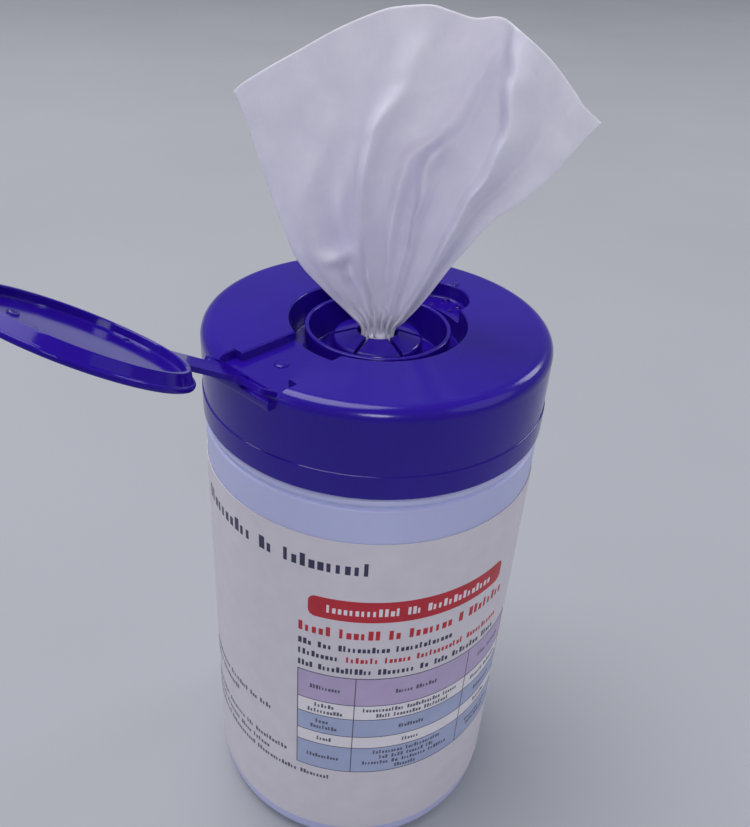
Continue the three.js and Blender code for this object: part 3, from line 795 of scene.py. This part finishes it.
def fold_height(across, along):
    height = 0.0
    for knots in LONG_FOLDS:
        i = next((k for k in range(1, len(knots)) if knots[k][0] >= along), len(knots) - 1)
        low, high = knots[i - 1], knots[i]
        t = smooth((along - low[0]) / (high[0] - low[0]))
        place, rise, left, right = (low[k] + (high[k] - low[k]) * t for k in (1, 2, 3, 4))
        away = across - place
        width = left if away < 0 else right
        height += rise * math.exp(-(away / width) ** 2)
    for centre, place, rise, radius_along, radius_across in DIMPLES:
        away = ((along - centre) / radius_along) ** 2 + ((across - place) / radius_across) ** 2
        height += rise * math.exp(-away)
    # Gathers: deep pleats that fill the round orifice and fade out above it
    round_off = math.sqrt(max(0.0, 1 - (2 * across - 1) ** 2))
    pleats = math.sin(across * 2 * math.pi * 5.5 + 1.5 * math.sin(along * 9))
    height += pleats * (3.0 * round_off * (1 - smooth(along / 0.16)) + 0.45 * (1 - smooth(along / 0.5)))
    ripple = noise.noise(Vector((across * 5.0, along * 4.0, 3.7)))
    small = noise.noise(Vector((across * 16.0, along * 9.0, 8.1)))
    return height + ripple * 1.3 * smooth(along * 2) + small * 0.35 * smooth(along * 3)


def sheet_point(across, along, edges):
    left, right, top = edges["left"][along], edges["right"][along], edges["top"][across]
    root = edges["root"][0].lerp(edges["root"][1], across)
    sides = left.lerp(right, across)
    ends = root.lerp(top, along)
    corners = edges["root"][0].lerp(edges["root"][1], across).lerp(
        edges["left"][1.0].lerp(edges["right"][1.0], across), along)
    point = sides + ends - corners
    outward = (FOLD_FOCUS - point).normalized()
    return point + outward * fold_height(across, along)


def thick_sheet(name, grid, thickness):
    """A closed thin shell on both sides of a grid of points."""
    def at(i, j):
        return j * columns + i

    rows, columns = len(grid), len(grid[0])
    vertices, faces = [], []
    normals = []
    for j in range(rows):
        for i in range(columns):
            across = grid[j][min(i + 1, columns - 1)] - grid[j][max(i - 1, 0)]
            along = grid[min(j + 1, rows - 1)][i] - grid[max(j - 1, 0)][i]
            normals.append(across.cross(along).normalized())
    for side in (0.5, -0.5):
        for j in range(rows):
            for i in range(columns):
                vertices.append(grid[j][i] + normals[j * columns + i] * thickness * side)
    back = rows * columns
    for j in range(rows - 1):
        for i in range(columns - 1):
            a, b, c, d = at(i, j), at(i + 1, j), at(i + 1, j + 1), at(i, j + 1)
            faces += [(a, b, c, d), (back + a, back + d, back + c, back + b)]
    for i in range(columns - 1):
        a, b = at(i, 0), at(i + 1, 0)
        faces.append((back + a, back + b, b, a))
        a, b = at(i, rows - 1), at(i + 1, rows - 1)
        faces.append((a, b, back + b, back + a))
    for j in range(rows - 1):
        a, b = at(0, j), at(0, j + 1)
        faces.append((a, b, back + b, back + a))
        a, b = at(columns - 1, j), at(columns - 1, j + 1)
        faces.append((back + a, back + b, b, a))
    item = mesh_object(name, vertices, faces)
    for face in item.data.polygons:
        face.use_smooth = True
    return item


def make_tail():
    """Gathered tail through the orifice, with lobes where the cloth is bunched."""
    sides = TAIL_SIDES
    vertices, faces = [], []
    for j, (radius, level) in enumerate(TAIL_PROFILE):
        for i in range(sides):
            angle = 2 * math.pi * i / sides
            lobes = 1 - 0.12 * (0.5 + 0.5 * math.cos(9 * angle + 0.4 * j))
            lobes -= 0.05 * math.cos(4 * angle - 0.3 * j)
            x, y = radius * lobes * math.cos(angle), TAIL_FLATNESS * radius * lobes * math.sin(angle)
            vertices.append((x, y, level))
    last = len(TAIL_PROFILE) - 1
    for j in range(last):
        for i in range(sides):
            k = (i + 1) % sides
            faces.append((j * sides + i, j * sides + k, (j + 1) * sides + k, (j + 1) * sides + i))
    faces.append(list(reversed(range(sides))))
    faces.append([last * sides + i for i in range(sides)])
    return finish_surface(mesh_object("wipe_tail", vertices, faces), 60)


def make_wipe(material):
    columns, rows = 230, 130
    shares = [i / columns for i in range(columns + 1)]
    levels = [j / rows for j in range(rows + 1)]
    edges = {
        "left": {v: along_curve(FAN_LEFT, v) for v in levels},
        "right": {v: along_curve(FAN_RIGHT, v) for v in levels},
        "top": {v: along_curve(FAN_TOP, v) for v in shares},
        "root": (Vector((FAN_LEFT[0][0], 0, FAN_LEFT[0][1])), Vector((FAN_RIGHT[0][0], 0, FAN_RIGHT[0][1]))),
    }
    grid = [[sheet_point(across, along, edges) for across in shares] for along in levels]
    wipe = thick_sheet("wipe_fan", grid, WIPE_THICKNESS)
    tail = make_tail()
    give(tail, material, "cap_body", "wipe_cloth")
    give(wipe, material, "cap_body", "wipe_cloth", "pulled_wipe")
    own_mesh(wipe)
    return wipe


# Floor, backdrop and lights

def make_stage():
    reach = 12000
    corners = [(-reach, -reach, 0), (reach, -reach, 0), (reach, reach, 0), (-reach, reach, 0)]
    floor = mesh_object("floor", corners, [(0, 1, 2, 3)])
    nodes = Nodes("floor_paper")
    nodes.link(nodes.ramp(nodes.noise(3, 3), srgb(157, 160, 167), srgb(162, 165, 172)), "Base Color")
    nodes.set(Roughness=0.75)
    floor.data.materials.append(nodes.material)
    world = bpy.data.worlds.new("studio")
    bpy.context.scene.world = world
    world.use_nodes = True
    background = world.node_tree.nodes["Background"]
    background.inputs["Color"].default_value = (0.88, 0.9, 1.0, 1)
    background.inputs["Strength"].default_value = 0.3


def lamp(name, place, target, size, power, color):
    data = bpy.data.lights.new(name, "AREA")
    data.shape = "DISK"
    data.size = size
    data.energy = power
    data.color = color
    item = bpy.data.objects.new(name, data)
    item.location = Vector(place) * MM
    item.rotation_euler = (Vector(target) - Vector(place)).to_track_quat("-Z", "Y").to_euler()
    bpy.context.scene.collection.objects.link(item)


def make_lights():
    lamp("key", (-800, 400, 2800), (0, 0, 150), 2.2, 66, (1.0, 0.98, 0.97))
    lamp("front", (100, -2100, 1700), (0, -200, 60), 0.7, 17, (0.96, 0.96, 1.0))
    lamp("left", (-2000, -700, 1100), (0, 0, 120), 1.6, 4, (0.93, 0.95, 1.0))
    lamp("right", (2000, -500, 1400), (0, 0, 120), 1.8, 6, (0.95, 0.96, 1.0))
    lamp("far", (2900, 2300, 2200), (500, 2700, 0), 1.6, 34, (0.95, 0.97, 1.0))


make_camera()
make_stage()
make_lights()

blue = cap_plastic("cap_plastic", 0.13, 0.2, 0.32)
lid_blue = cap_plastic("lid_plastic", 0.08, 0.13, 0.16)
wet_cloth = cloth("wipe_cloth", srgb(216, 211, 232), srgb(229, 225, 243), 0.5)
roll_cloth = cloth("roll_cloth", srgb(204, 203, 214), srgb(222, 221, 230), 0.1)
drop = water()

make_canister(canister_plastic())
make_label(print_film("label_film", srgb(207, 202, 210), srgb(213, 208, 216), 0.4))
make_print()
make_roll(roll_cloth)
make_cap(blue)
make_lid(lid_blue)
make_drops(blue, drop)
make_wipe(wet_cloth)
